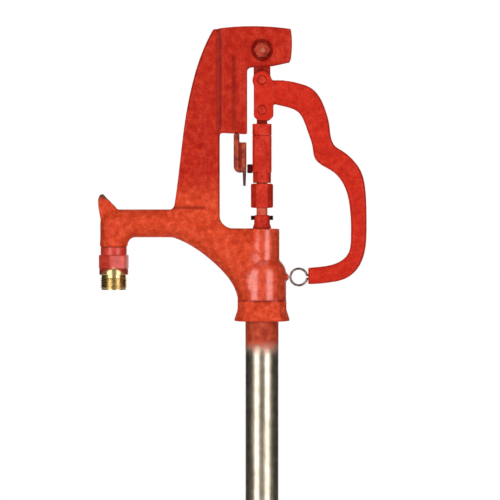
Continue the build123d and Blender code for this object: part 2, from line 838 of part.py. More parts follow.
def make_lock_ring():
    """Open wire ring whose two straight ends sit in holes in the lever's tip."""
    wire = ring_wire / 2
    gap_angle = math.degrees(math.asin(ring_leg_gap / 2 / ring_radius))
    hoop = Torus(ring_radius, wire, major_angle=360 - 2 * gap_angle)
    ring = Pos(ring_centre_reach, 0, ring_height) * Rot(90, 0, 0) * Rot(0, 0, gap_angle) * hoop
    leg_start = ring_centre_reach + ring_end_offset
    leg_end = lever_tip_reach + ring_leg_length
    for side in (-1, 1):
        leg_height = ring_height + side * ring_leg_gap / 2
        ring += Pos(leg_start, 0, leg_height) * Sphere(wire)
        leg = Pos((leg_start + leg_end) / 2, 0, leg_height) * Rot(0, 90, 0)
        ring += leg * Cylinder(wire, leg_end - leg_start)
    return on_head(ring)


def make_link_pin():
    return on_head(cross_pin(pin_radius, -fork_outside, fork_outside, 0, link_pin_height))


def make_rod_pin():
    return on_head(cross_pin(pin_radius, -fork_outside, fork_outside, 0, rod_pin_height))


# Rod eye, coupling, set screw and lock nut

def square_bar(width, corner, bottom, top):
    """Upright square bar with its four long corners chamfered."""
    bar = block(-width / 2, width / 2, -width / 2, width / 2, bottom, top)
    return chamfer(bar.edges().filter_by(Axis.Z), corner)


def make_rod_eye():
    eye = cross_pin(eye_radius, -half_tongue, half_tongue, 0, rod_pin_height)
    eye += block(-eye_width / 2, eye_width / 2, -half_tongue, half_tongue, coupling_top, rod_pin_height)
    eye -= cross_pin(pin_radius + fit_gap, -fork_outside, fork_outside, 0, rod_pin_height)
    eye += square_bar(coupling_width, coupling_corner, coupling_top, collar_top)
    eye += tube(eye_stem_radius, coupling_top - eye_stem_length + fit_gap, coupling_top + edge_break)
    return on_head(eye)


def make_rod_coupling():
    body = square_bar(coupling_width, coupling_corner, coupling_step, coupling_top)
    body += tube(coupling_round_radius, coupling_bottom, coupling_step + edge_break)
    split = coupling_top - eye_stem_length
    body -= tube(eye_stem_radius + fit_gap, split, coupling_top + overrun)
    body -= tube(rod_radius + fit_gap, coupling_bottom - overrun, split)
    screw = Pos(-coupling_width / 2, 0, set_screw_height) * Rot(0, 90, 0)
    body -= screw * Cylinder(set_screw_radius + fit_gap, coupling_width - 2 * rod_radius)
    return on_head(body)


def make_set_screw():
    height = set_screw_height
    half = set_screw_head / 2
    face = -coupling_width / 2
    inner = -rod_radius - fit_gap
    shank = Pos((face + inner) / 2, 0, height) * Rot(0, 90, 0) * Cylinder(set_screw_radius, inner - face)
    head = block(face - set_screw_head_length, face, -half, half, height - half, height + half)
    head = chamfer(head.edges().group_by(Axis.X)[0], edge_break / 2)
    return on_head(shank + head)


def make_coupling_lock_nut():
    bottom = lock_nut_top - lock_nut_height
    nut = hexagon(lock_nut_flats, bottom, lock_nut_top)
    crown = lock_nut_flats / 2 + edge_break / 2
    rim = edge_break
    outline = Polyline(
        (0, bottom),
        (crown - rim / 2, bottom),
        (crown + rim, bottom + rim),
        (crown + rim, lock_nut_top - rim),
        (crown - rim / 2, lock_nut_top),
        (0, lock_nut_top),
        (0, bottom),
    )
    nut = nut & turned(outline)
    return on_head(nut - tube(rod_radius + fit_gap, bottom - overrun, lock_nut_top + overrun))


# Lock hook under the front cheek

def make_lock_hook():
    hook_y = -(half_channel + cheek_thickness / 2)
    wire = hook_wire / 2
    bend_radius = hook_pitch / 2
    hook_bottom = hood_eave_height - eave_room * hook_share
    hook_free_top = hood_eave_height - eave_room * hook_free_share
    hook_tail_bottom = hood_eave_height - eave_room * hook_tail_share
    bend_height = hook_bottom + wire + bend_radius
    top = (-hook_reach, hook_y, hood_eave_height)
    bend_start = (-hook_reach, hook_y, bend_height)
    bend_low = (-hook_reach + bend_radius, hook_y, bend_height - bend_radius)
    bend_end = (-hook_reach + hook_pitch, hook_y, bend_height)
    free_end = (-hook_reach + hook_pitch, hook_y, hook_free_top)
    path = Line(top, bend_start) + ThreePointArc(bend_start, bend_low, bend_end) + Line(bend_end, free_end)
    hook = sweep(Plane(origin=top, z_dir=(0, 0, -1)) * Circle(wire), path=path)
    tail_top = bend_height
    tail_length = tail_top - hook_tail_bottom
    tail = Pos(-hook_tail_reach, hook_y, (tail_top + hook_tail_bottom) / 2)
    tail_radius = hook_tail_wire / 2
    hook += tail * Cone(tail_radius * hook_tail_tip_share, tail_radius, tail_length)
    shank = Pos(-hook_reach, hook_y, hood_eave_height + hook_shank_length / 2)
    hook += shank * Cylinder(hook_shank_radius, hook_shank_length)
    return on_head(hook)


# Hose nozzle

def make_hose_nozzle():
    neck_bottom = elbow_end - nozzle_neck_height
    hexagon_bottom = neck_bottom - nozzle_hexagon_height
    collar_bottom = hexagon_bottom - nozzle_collar_height
    mouth = collar_bottom - nozzle_thread_length
    nozzle = tube(nozzle_neck_radius, neck_bottom, elbow_end)
    flats = nozzle_hexagon / hex_corner_scale
    nozzle += Rot(0, 0, nozzle_hexagon_turn) * hexagon(flats, hexagon_bottom, neck_bottom)
    nozzle += tube(nozzle_collar_radius, collar_bottom, hexagon_bottom)
    nozzle += tube(nozzle_thread_radius, mouth, collar_bottom)
    nozzle = chamfer(nozzle.edges().group_by(Axis.Z)[0], nozzle_lip)
    nozzle += tube(spout_thread_radius, elbow_end, elbow_end + nozzle_shank_length)
    nozzle -= tube(nozzle_bore_radius, mouth - overrun, elbow_end + nozzle_shank_length + overrun)
    return on_head(Pos(-spout_reach, 0, 0) * nozzle)


pieces = {
    "head_casting": make_head_casting,
    "hose_nozzle": make_hose_nozzle,
    "casing_pipe": make_casing_pipe,
    "valve_body": make_valve_body,
    "valve_seat": make_valve_seat,
    "packing_nut": make_packing_nut,
    "gland_pins": make_gland_pins,
    "packing_gland": make_packing_gland,
    "packing_rings": make_packing_rings,
    "fulcrum_bolt": make_fulcrum_bolt,
    "fulcrum_washer": make_fulcrum_washer,
    "fulcrum_nut": make_fulcrum_nut,
    "lock_hook": make_lock_hook,
    "fulcrum_link": make_fulcrum_link,
    "lever": make_lever,
    "link_pin": make_link_pin,
    "rod_pin": make_rod_pin,
    "lock_ring": make_lock_ring,
    "rod_eye": make_rod_eye,
    "rod_coupling": make_rod_coupling,
    "set_screw": make_set_screw,
    "coupling_lock_nut": make_coupling_lock_nut,
    "operating_rod": make_operating_rod,
    "rod_guide": make_rod_guide,
    "plunger_body": make_plunger_body,
    "plunger_o_rings": make_plunger_o_rings,
    "plunger_seal": make_plunger_seal,
    "seal_washer": make_seal_washer,
    "seal_screw": make_seal_screw,
}

for name, make in pieces.items():
    export_step(make(), f"parts/{name}.step")
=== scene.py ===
import math

import bmesh
import bpy
from mathutils import Matrix, Vector, noise


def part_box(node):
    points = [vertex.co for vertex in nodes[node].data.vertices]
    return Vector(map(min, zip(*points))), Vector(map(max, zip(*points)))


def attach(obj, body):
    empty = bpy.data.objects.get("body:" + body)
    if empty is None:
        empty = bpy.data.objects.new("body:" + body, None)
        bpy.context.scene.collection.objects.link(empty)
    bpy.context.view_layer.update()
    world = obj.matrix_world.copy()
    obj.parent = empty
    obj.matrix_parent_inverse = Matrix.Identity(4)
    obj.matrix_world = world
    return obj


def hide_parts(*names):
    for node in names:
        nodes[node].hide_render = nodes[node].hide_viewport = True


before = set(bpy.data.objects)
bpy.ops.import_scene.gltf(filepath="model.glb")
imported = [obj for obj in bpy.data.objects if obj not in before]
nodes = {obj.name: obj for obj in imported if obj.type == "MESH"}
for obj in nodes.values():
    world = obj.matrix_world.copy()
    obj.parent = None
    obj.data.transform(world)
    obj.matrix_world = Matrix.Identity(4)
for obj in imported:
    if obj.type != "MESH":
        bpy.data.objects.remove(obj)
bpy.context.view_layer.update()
mm = 0.001
mergeGap = 0.004 * mm  # corners closer than this are one
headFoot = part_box("head_casting")[0].z  # face of the wrench band, where the casing pipe comes out
print("frame loaded:", len(nodes), "nodes")


def overFoot(height):
    # a height in mm over the head's foot, as a height in the scene
    return headFoot + height * mm


# helpers for meshes

def newPiece(name, form, smooth=True):
    mesh = bpy.data.meshes.new(name)
    form.to_mesh(mesh)
    form.free()
    for face in mesh.polygons:
        face.use_smooth = smooth
    piece = bpy.data.objects.new(name, mesh)
    bpy.context.scene.collection.objects.link(piece)
    return piece


def finishModifiers(piece):
    # bakes what the modifiers make into the piece's own mesh
    bpy.context.view_layer.update()
    graph = bpy.context.evaluated_depsgraph_get()
    finished = bpy.data.meshes.new_from_object(piece.evaluated_get(graph))
    piece.modifiers.clear()
    piece.data = finished
    for face in finished.polygons:
        face.use_smooth = True


# helpers for materials

noiseSpan = {"From Min": 0.3, "From Max": 0.7}  # a noise texture's values hardly pass these


def colour(code):
    # sRGB hex to the linear values that the shaders take
    parts = [int(code[at:at + 2], 16) / 255 for at in (1, 3, 5)]
    linear = [part / 12.92 if part <= 0.04045 else ((part + 0.055) / 1.055) ** 2.4 for part in parts]
    return (*linear, 1.0)


def plug(tree, node, values):
    # links each named socket, or sets it where the value is no socket
    for socket, value in values.items():
        if isinstance(value, bpy.types.NodeSocket):
            tree.links.new(value, node.inputs[socket])
        else:
            node.inputs[socket].default_value = value


def addNode(tree, kind, values=None, stops=None, **settings):
    # stops are a ramp's places and hex colours
    node = tree.nodes.new(kind)
    for name, value in settings.items():
        setattr(node, name, value)
    plug(tree, node, values or {})
    if stops:
        ramp = node.color_ramp
        for element, (place, shade) in zip((ramp.elements[0], ramp.elements[-1]), (stops[0], stops[-1])):
            element.position, element.color = place, colour(shade)
        for place, shade in stops[1:-1]:
            ramp.elements.new(place).color = colour(shade)
    return node


def newMaterial(name):
    material = bpy.data.materials.new(name)
    material.use_nodes = True
    tree = material.node_tree
    tree.nodes.clear()
    shader = addNode(tree, "ShaderNodeBsdfPrincipled")
    addNode(tree, "ShaderNodeOutputMaterial", {"Surface": shader.outputs["BSDF"]})
    place = addNode(tree, "ShaderNodeTexCoord").outputs["Object"]
    return material, tree, shader, place


def showInstead(tree, light):
    # the material's output takes this light or mix in place of its shader
    output = next(node for node in tree.nodes if node.type == "OUTPUT_MATERIAL")
    plug(tree, output, {"Surface": light})


def dress(piece, material):
    piece.data.materials.clear()
    piece.data.materials.append(material)
    for face in piece.data.polygons:
        face.material_index = 0


# red enamel on cast iron

enamel = {
    "blotch": 6.5 * mm, "speck": 2.2 * mm, "speckAmount": 0.7, "hollow": 7 * mm,
    "specks": ((0.30, "#d2bdb8"), (0.50, "#f8f4f2"), (0.72, "#ffffff")),
    # painted shade: the ramp by which ambient occlusion darkens the hollows
    "hollowShade": ((0.25, "#3a120c"), (0.70, "#dcc6c0"), (0.95, "#ffffff")),
    # the painted shade along creases: its colour, the share of its width at full strength, and its fade at
    # the ends
    "creaseShade": "#6e130a", "creaseShadeCore": 0.3, "creaseShadeFade": 6 * mm,
    "spotCore": 0.15, "spotRim": 0.75,  # shares of a spot's reach between which the bare iron and the bolt's painted highlight fade
    # grain under the paint, coarse to fine: size, detail, strength and depth
    # moulding sand is finer than the last of these, which is drawn as coarse as it needs to show
    "grain": ((9 * mm, 2.0, 0.35, 0.4 * mm), (3.2 * mm, 3.0, 0.4, 0.35 * mm),
              (1.1 * mm, 2.0, 0.35, 0.14 * mm)),
    "roughLow": 0.45, "roughHigh": 0.58, "specular": 0.06,
    "coat": 0.06, "coatRoughness": 0.24, "coatIor": 1.65,
    "turnLow": 118, "turnHigh": 150,  # heights over the foot between which the gloss changes and the painted light of the lower part gives way to the painted shade of the upper
}
barrelGloss = {  # where the thick gloss lies, with heights over the foot
    "weight": 1.0, "lean": 0.3, "edge": -13 * mm, "edgeHeight": 53, "edgeOut": 6 * mm, "edgeIn": 5 * mm,
    "bandTop": 20, "glossFoot": 23, "throat": -17 * mm, "barrelSide": -12.5 * mm,
}
tones = {  # deep, base and light shade of the red on each casting
    # painted light and shade: one enamel, drawn darker on the upright and hood and lighter and more orange on
    # the arm, barrel and band, as the light falls on them
    "shadedUpper": ("#a51b0e", "#b72714", "#c33620"),
    "litLower": ("#bc391d", "#d14323", "#e05838"),
    "lever": ("#bb2212", "#c52816", "#ce321e"),
    "forged": ("#b02314", "#c22c1c", "#ce3d29"),
    "hook": ("#76291e", "#a3412d", "#b95738"),
    "bolt": ("#7a1f14", "#a83726", "#ba4a38"),
    "screw": ("#250a08", "#43120d", "#581a12"),
}


def toneStops(shades):
    # where the deep, base and light shade stand on a ramp that a noise drives
    return list(zip((0.34, 0.50, 0.66), shades))


def paintCreaseShade(tree, paint, side, height, creaseShades):
    # painted shade: a dark line drawn along a fold, a step or the gap between two bars, where shade falls
    for axis, middle, width, start, end, strength in creaseShades:
        crossing, running = (side, height) if axis == "X" else (height, side)
        off = addNode(tree, "ShaderNodeMath", {0: crossing, 1: middle}, operation="SUBTRACT")
        away = addNode(tree, "ShaderNodeMath", {0: off.outputs["Value"]}, operation="ABSOLUTE")
        amount = addNode(tree, "ShaderNodeMapRange", {
            "Value": away.outputs["Value"], "From Min": enamel["creaseShadeCore"] * width, "From Max": width,
            "To Min": strength, "To Max": 0.0}, interpolation_type="SMOOTHSTEP").outputs["Result"]
        for outer, inner in ((start, start + enamel["creaseShadeFade"]), (end, end - enamel["creaseShadeFade"])):
            within = addNode(tree, "ShaderNodeMapRange", {
                "Value": running, "From Min": outer, "From Max": inner}, interpolation_type="SMOOTHSTEP")
            amount = addNode(tree, "ShaderNodeMath", {0: amount, 1: within.outputs["Result"]},
                             operation="MULTIPLY").outputs["Value"]
        paint = addNode(tree, "ShaderNodeMix", {0: amount, 6: paint, 7: colour(enamel["creaseShade"])},
                        data_type="RGBA").outputs[2]
    return paint


def wearAndGlintSpots(tree, paint, place, blotches, spots):
    # bare rusty iron where other things rub, and on the bolt's face a painted highlight drawn the same way
    for middle, reach, shade in spots:
        away = addNode(tree, "ShaderNodeVectorMath", {0: place, 1: middle}, operation="DISTANCE")
        ragged = addNode(tree, "ShaderNodeMath", {0: blotches, 1: -reach, 2: away.outputs["Value"]},
                         operation="MULTIPLY_ADD")
        worn = addNode(tree, "ShaderNodeMapRange", {
            "Value": ragged.outputs["Value"], "From Min": enamel["spotCore"] * reach,
            "From Max": enamel["spotRim"] * reach, "To Min": 1.0, "To Max": 0.0},
            interpolation_type="SMOOTHSTEP")
        paint = addNode(tree, "ShaderNodeMix", {0: worn.outputs["Result"], 6: paint, 7: colour(shade)},
                        data_type="RGBA").outputs[2]
    return paint


def castGrain(tree, place):
    # bumps of the sand-cast skin, coarse to fine, each on top of the one before
    normals = []
    for size, detail, strength, depth in enamel["grain"]:
        pattern = addNode(tree, "ShaderNodeTexNoise", {"Vector": place, "Scale": 1 / size, "Detail": detail})
        bump = addNode(tree, "ShaderNodeBump", {
            "Height": pattern.outputs["Fac"], "Strength": strength, "Distance": depth})
        if normals:
            plug(tree, bump, {"Normal": normals[-1]})
        normals.append(bump.outputs["Normal"])
    return normals


def glossOnBarrel(tree, side, height):
    # the paint ran down and dried thick and glossy on the barrel and its dome
    s = barrelGloss
    slant = addNode(tree, "ShaderNodeMath", {0: height, 1: -s["lean"], 2: side}, operation="MULTIPLY_ADD")
    edge = s["edge"] - s["lean"] * overFoot(s["edgeHeight"])
    gloss = addNode(tree, "ShaderNodeMapRange", {
        "Value": slant.outputs["Value"], "From Min": edge - s["edgeOut"], "From Max": edge + s["edgeIn"],
        "To Min": enamel["coat"], "To Max": s["weight"]}, interpolation_type="SMOOTHSTEP").outputs["Result"]
    limits = ((height, overFoot(s["bandTop"]), overFoot(s["glossFoot"])),
              (side, s["throat"], s["barrelSide"]))
    for value, low, high in limits:
        part = addNode(tree, "ShaderNodeMapRange", {
            "Value": value, "From Min": low, "From Max": high, "To Min": enamel["coat"]})
        gloss = addNode(tree, "ShaderNodeMath", {0: gloss, 1: part.outputs["Result"]},
                        operation="MULTIPLY").outputs["Value"]
    return gloss


def redEnamel(name, shades, litLowShades=None, wearAndGlintTips=(), creaseShades=(), paintedShade=0.95):
    # sprayed red enamel on rough cast iron: thin paint that follows the sand texture, a little blotchy and
    # dull, with painted shade darkening it in the hollows
    s = enamel
    material, tree, shader, place = newMaterial(name)
    apart = addNode(tree, "ShaderNodeSeparateXYZ", {"Vector": place})
    side, height = apart.outputs["X"], apart.outputs["Z"]
    blotches = addNode(tree, "ShaderNodeTexNoise", {
        "Vector": place, "Scale": 1 / s["blotch"], "Detail": 4.0, "Roughness": 0.6}).outputs["Fac"]
    paint = addNode(tree, "ShaderNodeValToRGB", {"Fac": blotches}, toneStops(tones[shades])).outputs["Color"]
    coat = s["coat"]
    # painted light: low down the red is the lit copy, high up the shaded one
    if litLowShades:
        raised = addNode(tree, "ShaderNodeMapRange", {
            "Value": height, "From Min": overFoot(s["turnLow"]), "From Max": overFoot(s["turnHigh"])},
            interpolation_type="SMOOTHSTEP").outputs["Result"]
        low = addNode(tree, "ShaderNodeValToRGB", {"Fac": blotches}, toneStops(tones[litLowShades]))
        paint = addNode(tree, "ShaderNodeMix", {0: raised, 6: low.outputs["Color"], 7: paint},
                        data_type="RGBA").outputs[2]
        gloss = glossOnBarrel(tree, side, height)
        coat = addNode(tree, "ShaderNodeMix", {0: raised, 2: gloss, 3: coat}).outputs[0]
    specks = addNode(tree, "ShaderNodeTexNoise", {"Vector": place, "Scale": 1 / s["speck"], "Detail": 3.0})
    # painted shade: ambient occlusion darkens the paint in hollows, creases and gaps under other parts
    hollows = addNode(tree, "ShaderNodeAmbientOcclusion", {"Distance": s["hollow"]}, samples=8)
    for amount, value, stops in ((s["speckAmount"], specks.outputs["Fac"], s["specks"]),
                                 (paintedShade, hollows.outputs["AO"], s["hollowShade"])):
        shade = addNode(tree, "ShaderNodeValToRGB", {"Fac": value}, stops)
        paint = addNode(tree, "ShaderNodeMix", {0: amount, 6: paint, 7: shade.outputs["Color"]},
                        data_type="RGBA", blend_type="MULTIPLY").outputs[2]
    paint = paintCreaseShade(tree, paint, side, height, creaseShades)
    paint = wearAndGlintSpots(tree, paint, place, blotches, wearAndGlintTips)
    uneven = addNode(tree, "ShaderNodeMapRange", {
        "Value": blotches, **noiseSpan, "To Min": s["roughLow"], "To Max": s["roughHigh"]})
    grain = castGrain(tree, place)
    plug(tree, shader, {
        "Base Color": paint, "Roughness": uneven.outputs["Result"], "Normal": grain[-1],
        "Specular IOR Level": s["specular"], "Coat Weight": coat, "Coat Roughness": s["coatRoughness"],
        "Coat IOR": s["coatIor"], "Coat Normal": grain[0]})
    return material


# galvanised steel with overspray

overspray = {
    "streak": 1.6 * mm, "streakShare": 0.4, "spangle": 9 * mm, "wander": 7 * mm, "wanderReach": 10 * mm,
    "zincStops": (0.5, 0.9), "smoothest": -0.04, "roughest": 0.06, "matt": 0.3, "specular": 0.2,
    "lineStrength": 0.18, "lineDepth": 0.04 * mm,
}


def oversprayed(name, zinc, spray, edge, soft, stretch, roughness):
    # hot-dipped zinc on drawn steel: grey metal with faint lengthwise streaks and spangle, and red overspray
    # whose edge wanders by a few millimetres about the given height
    s = overspray
    material, tree, shader, place = newMaterial(name)
    stretched = addNode(tree, "ShaderNodeMapping", {"Vector": place, "Scale": (1.0, 1.0, stretch)})
    streaks = addNode(tree, "ShaderNodeTexNoise", {
        "Vector": stretched.outputs["Vector"], "Scale": 1 / s["streak"], "Detail": 3.0}).outputs["Fac"]
    spangle = addNode(tree, "ShaderNodeTexNoise", {"Vector": place, "Scale": 1 / s["spangle"], "Detail": 4.0})
    dapple = addNode(tree, "ShaderNodeMath", {0: streaks, 1: s["streakShare"], 2: spangle.outputs["Fac"]},
                     operation="MULTIPLY_ADD")
    metal = addNode(tree, "ShaderNodeValToRGB", {"Fac": dapple.outputs["Value"]},
                    list(zip(s["zincStops"], zinc)))
    height = addNode(tree, "ShaderNodeSeparateXYZ", {"Vector": place}).outputs["Z"]
    wander = addNode(tree, "ShaderNodeTexNoise", {
        "Vector": place, "Scale": 1 / s["wander"], "Detail": 4.0}).outputs["Fac"]
    ragged = addNode(tree, "ShaderNodeMath", {0: wander, 1: s["wanderReach"], 2: height},
                     operation="MULTIPLY_ADD")
    middle = edge + s["wanderReach"] / 2
    cover = addNode(tree, "ShaderNodeMapRange", {
        "Value": ragged.outputs["Value"], "From Min": middle - soft / 2, "From Max": middle + soft / 2},
        interpolation_type="SMOOTHSTEP").outputs["Result"]
    patchy = addNode(tree, "ShaderNodeValToRGB", {"Fac": wander}, toneStops(spray))
    skin = addNode(tree, "ShaderNodeMix", {0: cover, 6: metal.outputs["Color"], 7: patchy.outputs["Color"]},
                   data_type="RGBA")
    bare = addNode(tree, "ShaderNodeMath", {0: 1.0, 1: cover}, operation="SUBTRACT")
    rough = addNode(tree, "ShaderNodeMapRange", {
        "Value": streaks, **noiseSpan, "To Min": roughness + s["smoothest"],
        "To Max": roughness + s["roughest"]})
    dusty = addNode(tree, "ShaderNodeMath", {0: cover, 1: s["matt"], 2: rough.outputs["Result"]},
                    operation="MULTIPLY_ADD")  # the dry overspray is matt
    lines = addNode(tree, "ShaderNodeBump", {
        "Height": streaks, "Strength": s["lineStrength"], "Distance": s["lineDepth"]})
    plug(tree, shader, {
        "Base Color": skin.outputs[2], "Metallic": bare.outputs["Value"], "Roughness": dusty.outputs["Value"],
        "Specular IOR Level": s["specular"], "Normal": lines.outputs["Normal"]})
    return material


# bare metals and rubber

brass = {
    "tarnish": 4 * mm, "tarnishStops": (0.30, 0.55), "dullest": 0.08, "brightest": -0.04,
    # a lathe's marks lie closer than this, and they are drawn as coarse as they need to show
    "turning": 0.6 * mm, "turningStrength": 0.2, "turningDepth": 0.03 * mm,
}


def brassMaterial(name, tone, dark, roughness):
    # machined yellow brass: warm bright metal with fine turning marks and a little dull tarnish
    material, tree, shader, place = newMaterial(name)
    tarnish = addNode(tree, "ShaderNodeTexNoise", {
        "Vector": place, "Scale": 1 / brass["tarnish"], "Detail": 5.0}).outputs["Fac"]
    stops = list(zip(brass["tarnishStops"], (dark, tone)))
    tint = addNode(tree, "ShaderNodeValToRGB", {"Fac": tarnish}, stops)
    rough = addNode(tree, "ShaderNodeMapRange", {
        "Value": tarnish, **noiseSpan, "To Min": roughness + brass["dullest"],
        "To Max": roughness + brass["brightest"]})
    marks = addNode(tree, "ShaderNodeTexNoise", {
        "Vector": place, "Scale": 1 / brass["turning"], "Detail": 2.0}).outputs["Fac"]
    bump = addNode(tree, "ShaderNodeBump", {
        "Height": marks, "Strength": brass["turningStrength"], "Distance": brass["turningDepth"]})
    plug(tree, shader, {
        "Base Color": tint.outputs["Color"], "Metallic": 1.0, "Roughness": rough.outputs["Result"],
        "Normal": bump.outputs["Normal"]})
    return material


steel = {"mottleStops": (0.32, 0.62), "smoothest": -0.05, "roughest": 0.1, "grainStrength": 0.3}


def plainMetal(name, tone, dark, roughness, grain, depth):
    # rolled or drawn steel with a finish coat: even colour with faint mottling and a fine grain
    material, tree, shader, place = newMaterial(name)
    mottle = addNode(tree, "ShaderNodeTexNoise", {
        "Vector": place, "Scale": 1 / grain, "Detail": 5.0}).outputs["Fac"]
    stops = list(zip(steel["mottleStops"], (dark, tone)))
    tint = addNode(tree, "ShaderNodeValToRGB", {"Fac": mottle}, stops)
    rough = addNode(tree, "ShaderNodeMapRange", {
        "Value": mottle, **noiseSpan, "To Min": roughness + steel["smoothest"],
        "To Max": roughness + steel["roughest"]})
    bump = addNode(tree, "ShaderNodeBump", {
        "Height": mottle, "Strength": steel["grainStrength"], "Distance": depth})
    plug(tree, shader, {
        "Base Color": tint.outputs["Color"], "Metallic": 1.0, "Roughness": rough.outputs["Result"],
        "Normal": bump.outputs["Normal"]})
    return material


rubber = {"dark": "#0c0c0c", "stops": (0.3, 0.7), "roughness": 0.75, "strength": 0.3, "depth": 0.05 * mm}


def rubberMaterial(name, tone, grain):
    # moulded black rubber or graphited cord: dull and dark, with a fine matt grain
    material, tree, shader, place = newMaterial(name)
    speck = addNode(tree, "ShaderNodeTexNoise", {
        "Vector": place, "Scale": 1 / grain, "Detail": 3.0}).outputs["Fac"]
    stops = list(zip(rubber["stops"], (rubber["dark"], tone)))
    tint = addNode(tree, "ShaderNodeValToRGB", {"Fac": speck}, stops)
    bump = addNode(tree, "ShaderNodeBump", {
        "Height": speck, "Strength": rubber["strength"], "Distance": rubber["depth"]})
    plug(tree, shader, {
        "Base Color": tint.outputs["Color"], "Roughness": rubber["roughness"],
        "Normal": bump.outputs["Normal"]})
    return material


# the finishes of this standpipe

# a spot is its middle, its reach and the colour drawn there: worn iron on the horn and the hook, a painted
# highlight on the bolt
hornTip = (Vector((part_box("head_casting")[0].x + 5 * mm, 0, overFoot(128))), 8 * mm, "#5b3327")
hookTip = (Vector((-17.5 * mm, -13 * mm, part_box("lock_hook")[0].z)), 16 * mm, "#573539")
# painted highlight: a paler spot drawn on the bolt's face, where the light falls
boltFaceGlint = (Vector((1 * mm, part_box("fulcrum_bolt")[0].y, overFoot(272.2))), 2.4 * mm, "#b0604a")
# painted shade in the hood's two folds, at the upright's toe over the arm, and under the barrel's overhang at
# the band
headCreaseShades = [  # the axis each crosses, its place and width, from where to where it runs, and how dark it is
    ("X", -43.2 * mm, 4.4 * mm, overFoot(189), overFoot(305), 0.55),
    ("X", -28.2 * mm, 3.4 * mm, overFoot(189), overFoot(271), 0.5),
    ("Z", overFoot(114.5), 2.4 * mm, -97 * mm, -54 * mm, 0.6),
    ("Z", overFoot(21), 1.7 * mm, -32 * mm, 32 * mm, 0.5),
]
# painted shade in the gap between the hook's two bars
hookCreaseShades = [("X", -22.1 * mm, 1.3 * mm, overFoot(149), overFoot(185), 0.7)]

# the casting's red carries painted light below, painted shade above, and painted shade in its creases and
# hollows
castEnamel = redEnamel("red enamel on cast iron", "shadedUpper", "litLower", [hornTip], headCreaseShades)
leverEnamel = redEnamel("red enamel on cast lever", "lever")
forgedEnamel = redEnamel("red enamel on forged steel", "forged", paintedShade=0.5)
wornEnamel = redEnamel("worn red enamel on bent wire", "hook", wearAndGlintTips=[hookTip], creaseShades=hookCreaseShades)
screwEnamel = redEnamel("red overspray on black screw", "screw")
boltEnamel = redEnamel("thin red overspray on bolt", "bolt", wearAndGlintTips=[boltFaceGlint], paintedShade=0.8)
zincPipe = oversprayed("galvanised drawn steel", ("#a79c8b", "#cdc2af"), ("#8f2c17", "#b33e24", "#bb5436"),
                       edge=overFoot(-27), soft=17 * mm, stretch=0.02, roughness=0.34)
drawnRod = oversprayed("galvanised rod with overspray", ("#7d7468", "#9c9488"),
                       ("#b8402c", "#d4553f", "#df6d57"),
                       edge=overFoot(100), soft=6 * mm, stretch=0.05, roughness=0.34)
yellowBrass = brassMaterial("machined yellow brass", "#d4ba82", "#9d7f4a", roughness=0.32)
valveBronze = brassMaterial("cast bronze", "#b98f4c", "#8a6430", roughness=0.42)
platedWire = plainMetal("plated spring wire", "#a4928d", "#6b4a44",
                        roughness=0.3, grain=2 * mm, depth=0.03 * mm)
blackOxide = plainMetal("oiled black oxide steel", "#3a2522", "#1c1010",
                        roughness=0.42, grain=2 * mm, depth=0.03 * mm)
zincPlate = plainMetal("zinc plated steel", "#b5b1a8", "#8d897f",
                       roughness=0.3, grain=3 * mm, depth=0.02 * mm)
blackRubber = rubberMaterial("moulded black rubber", "#1f1f1f", grain=0.8 * mm)
packingCord = rubberMaterial("graphited packing cord", "#3b3b3d", grain=1.2 * mm)
print("materials made")


# the castings and forgings

castSkin = {  # smoothing per pass, the skin's mean depth and swing, and its finer swell
    "smoothing": 0.5, "level": 0.5, "swing": 0.33, "fineShare": 0.5, "fineRatio": 2.3,
}
flankFolds = {"reach": 9 * mm, "fade": 8 * mm}  # how far out the flanks start, and how soon a fold is full


def softenRibs(piece, low, high, passes):
    # worn pattern: ribs on both flanks that hardly stand out any more
    form = bmesh.new()
    form.from_mesh(piece.data)
    ribs = []
    for vertex in form.verts:
        spot = (vertex.co.x, abs(vertex.co.y), vertex.co.z)
        if all(start < at < end for start, at, end in zip(low, spot, high)):
            ribs.append(vertex)
    for step in range(passes):
        bmesh.ops.smooth_vert(form, verts=ribs, factor=castSkin["smoothing"], use_axis_x=False,
                              use_axis_y=True, use_axis_z=False)
    form.to_mesh(piece.data)
    form.free()


def roughenSkin(mesh, lift, size):
    # the uneven skin that a sand mould leaves: two sizes of swell, always inward from the CAD surface
    normals = [vertex.normal.copy() for vertex in mesh.vertices]
    for vertex, normal in zip(mesh.vertices, normals):
        wave = noise.noise(vertex.co / size)
        wave += castSkin["fineShare"] * noise.noise(vertex.co / size * castSkin["fineRatio"])
        vertex.co -= normal * lift * (castSkin["level"] + castSkin["swing"] * wave)


def pressFold(mesh, fold):
    # a soft upright groove in both flanks, or a swell where its depth is negative
    low, high = overFoot(fold["from"]), overFoot(fold["to"])
    for vertex in mesh.vertices:
        spot = vertex.co
        if low < spot.z < high and abs(spot.y) > flankFolds["reach"]:
            ends = min(1, (spot.z - low) / flankFolds["fade"], (high - spot.z) / flankFolds["fade"])
            off = (spot.x - fold["middle"]) / fold["width"]
            spot.y -= math.copysign(fold["depth"] * ends * math.exp(-off ** 2), spot.y)


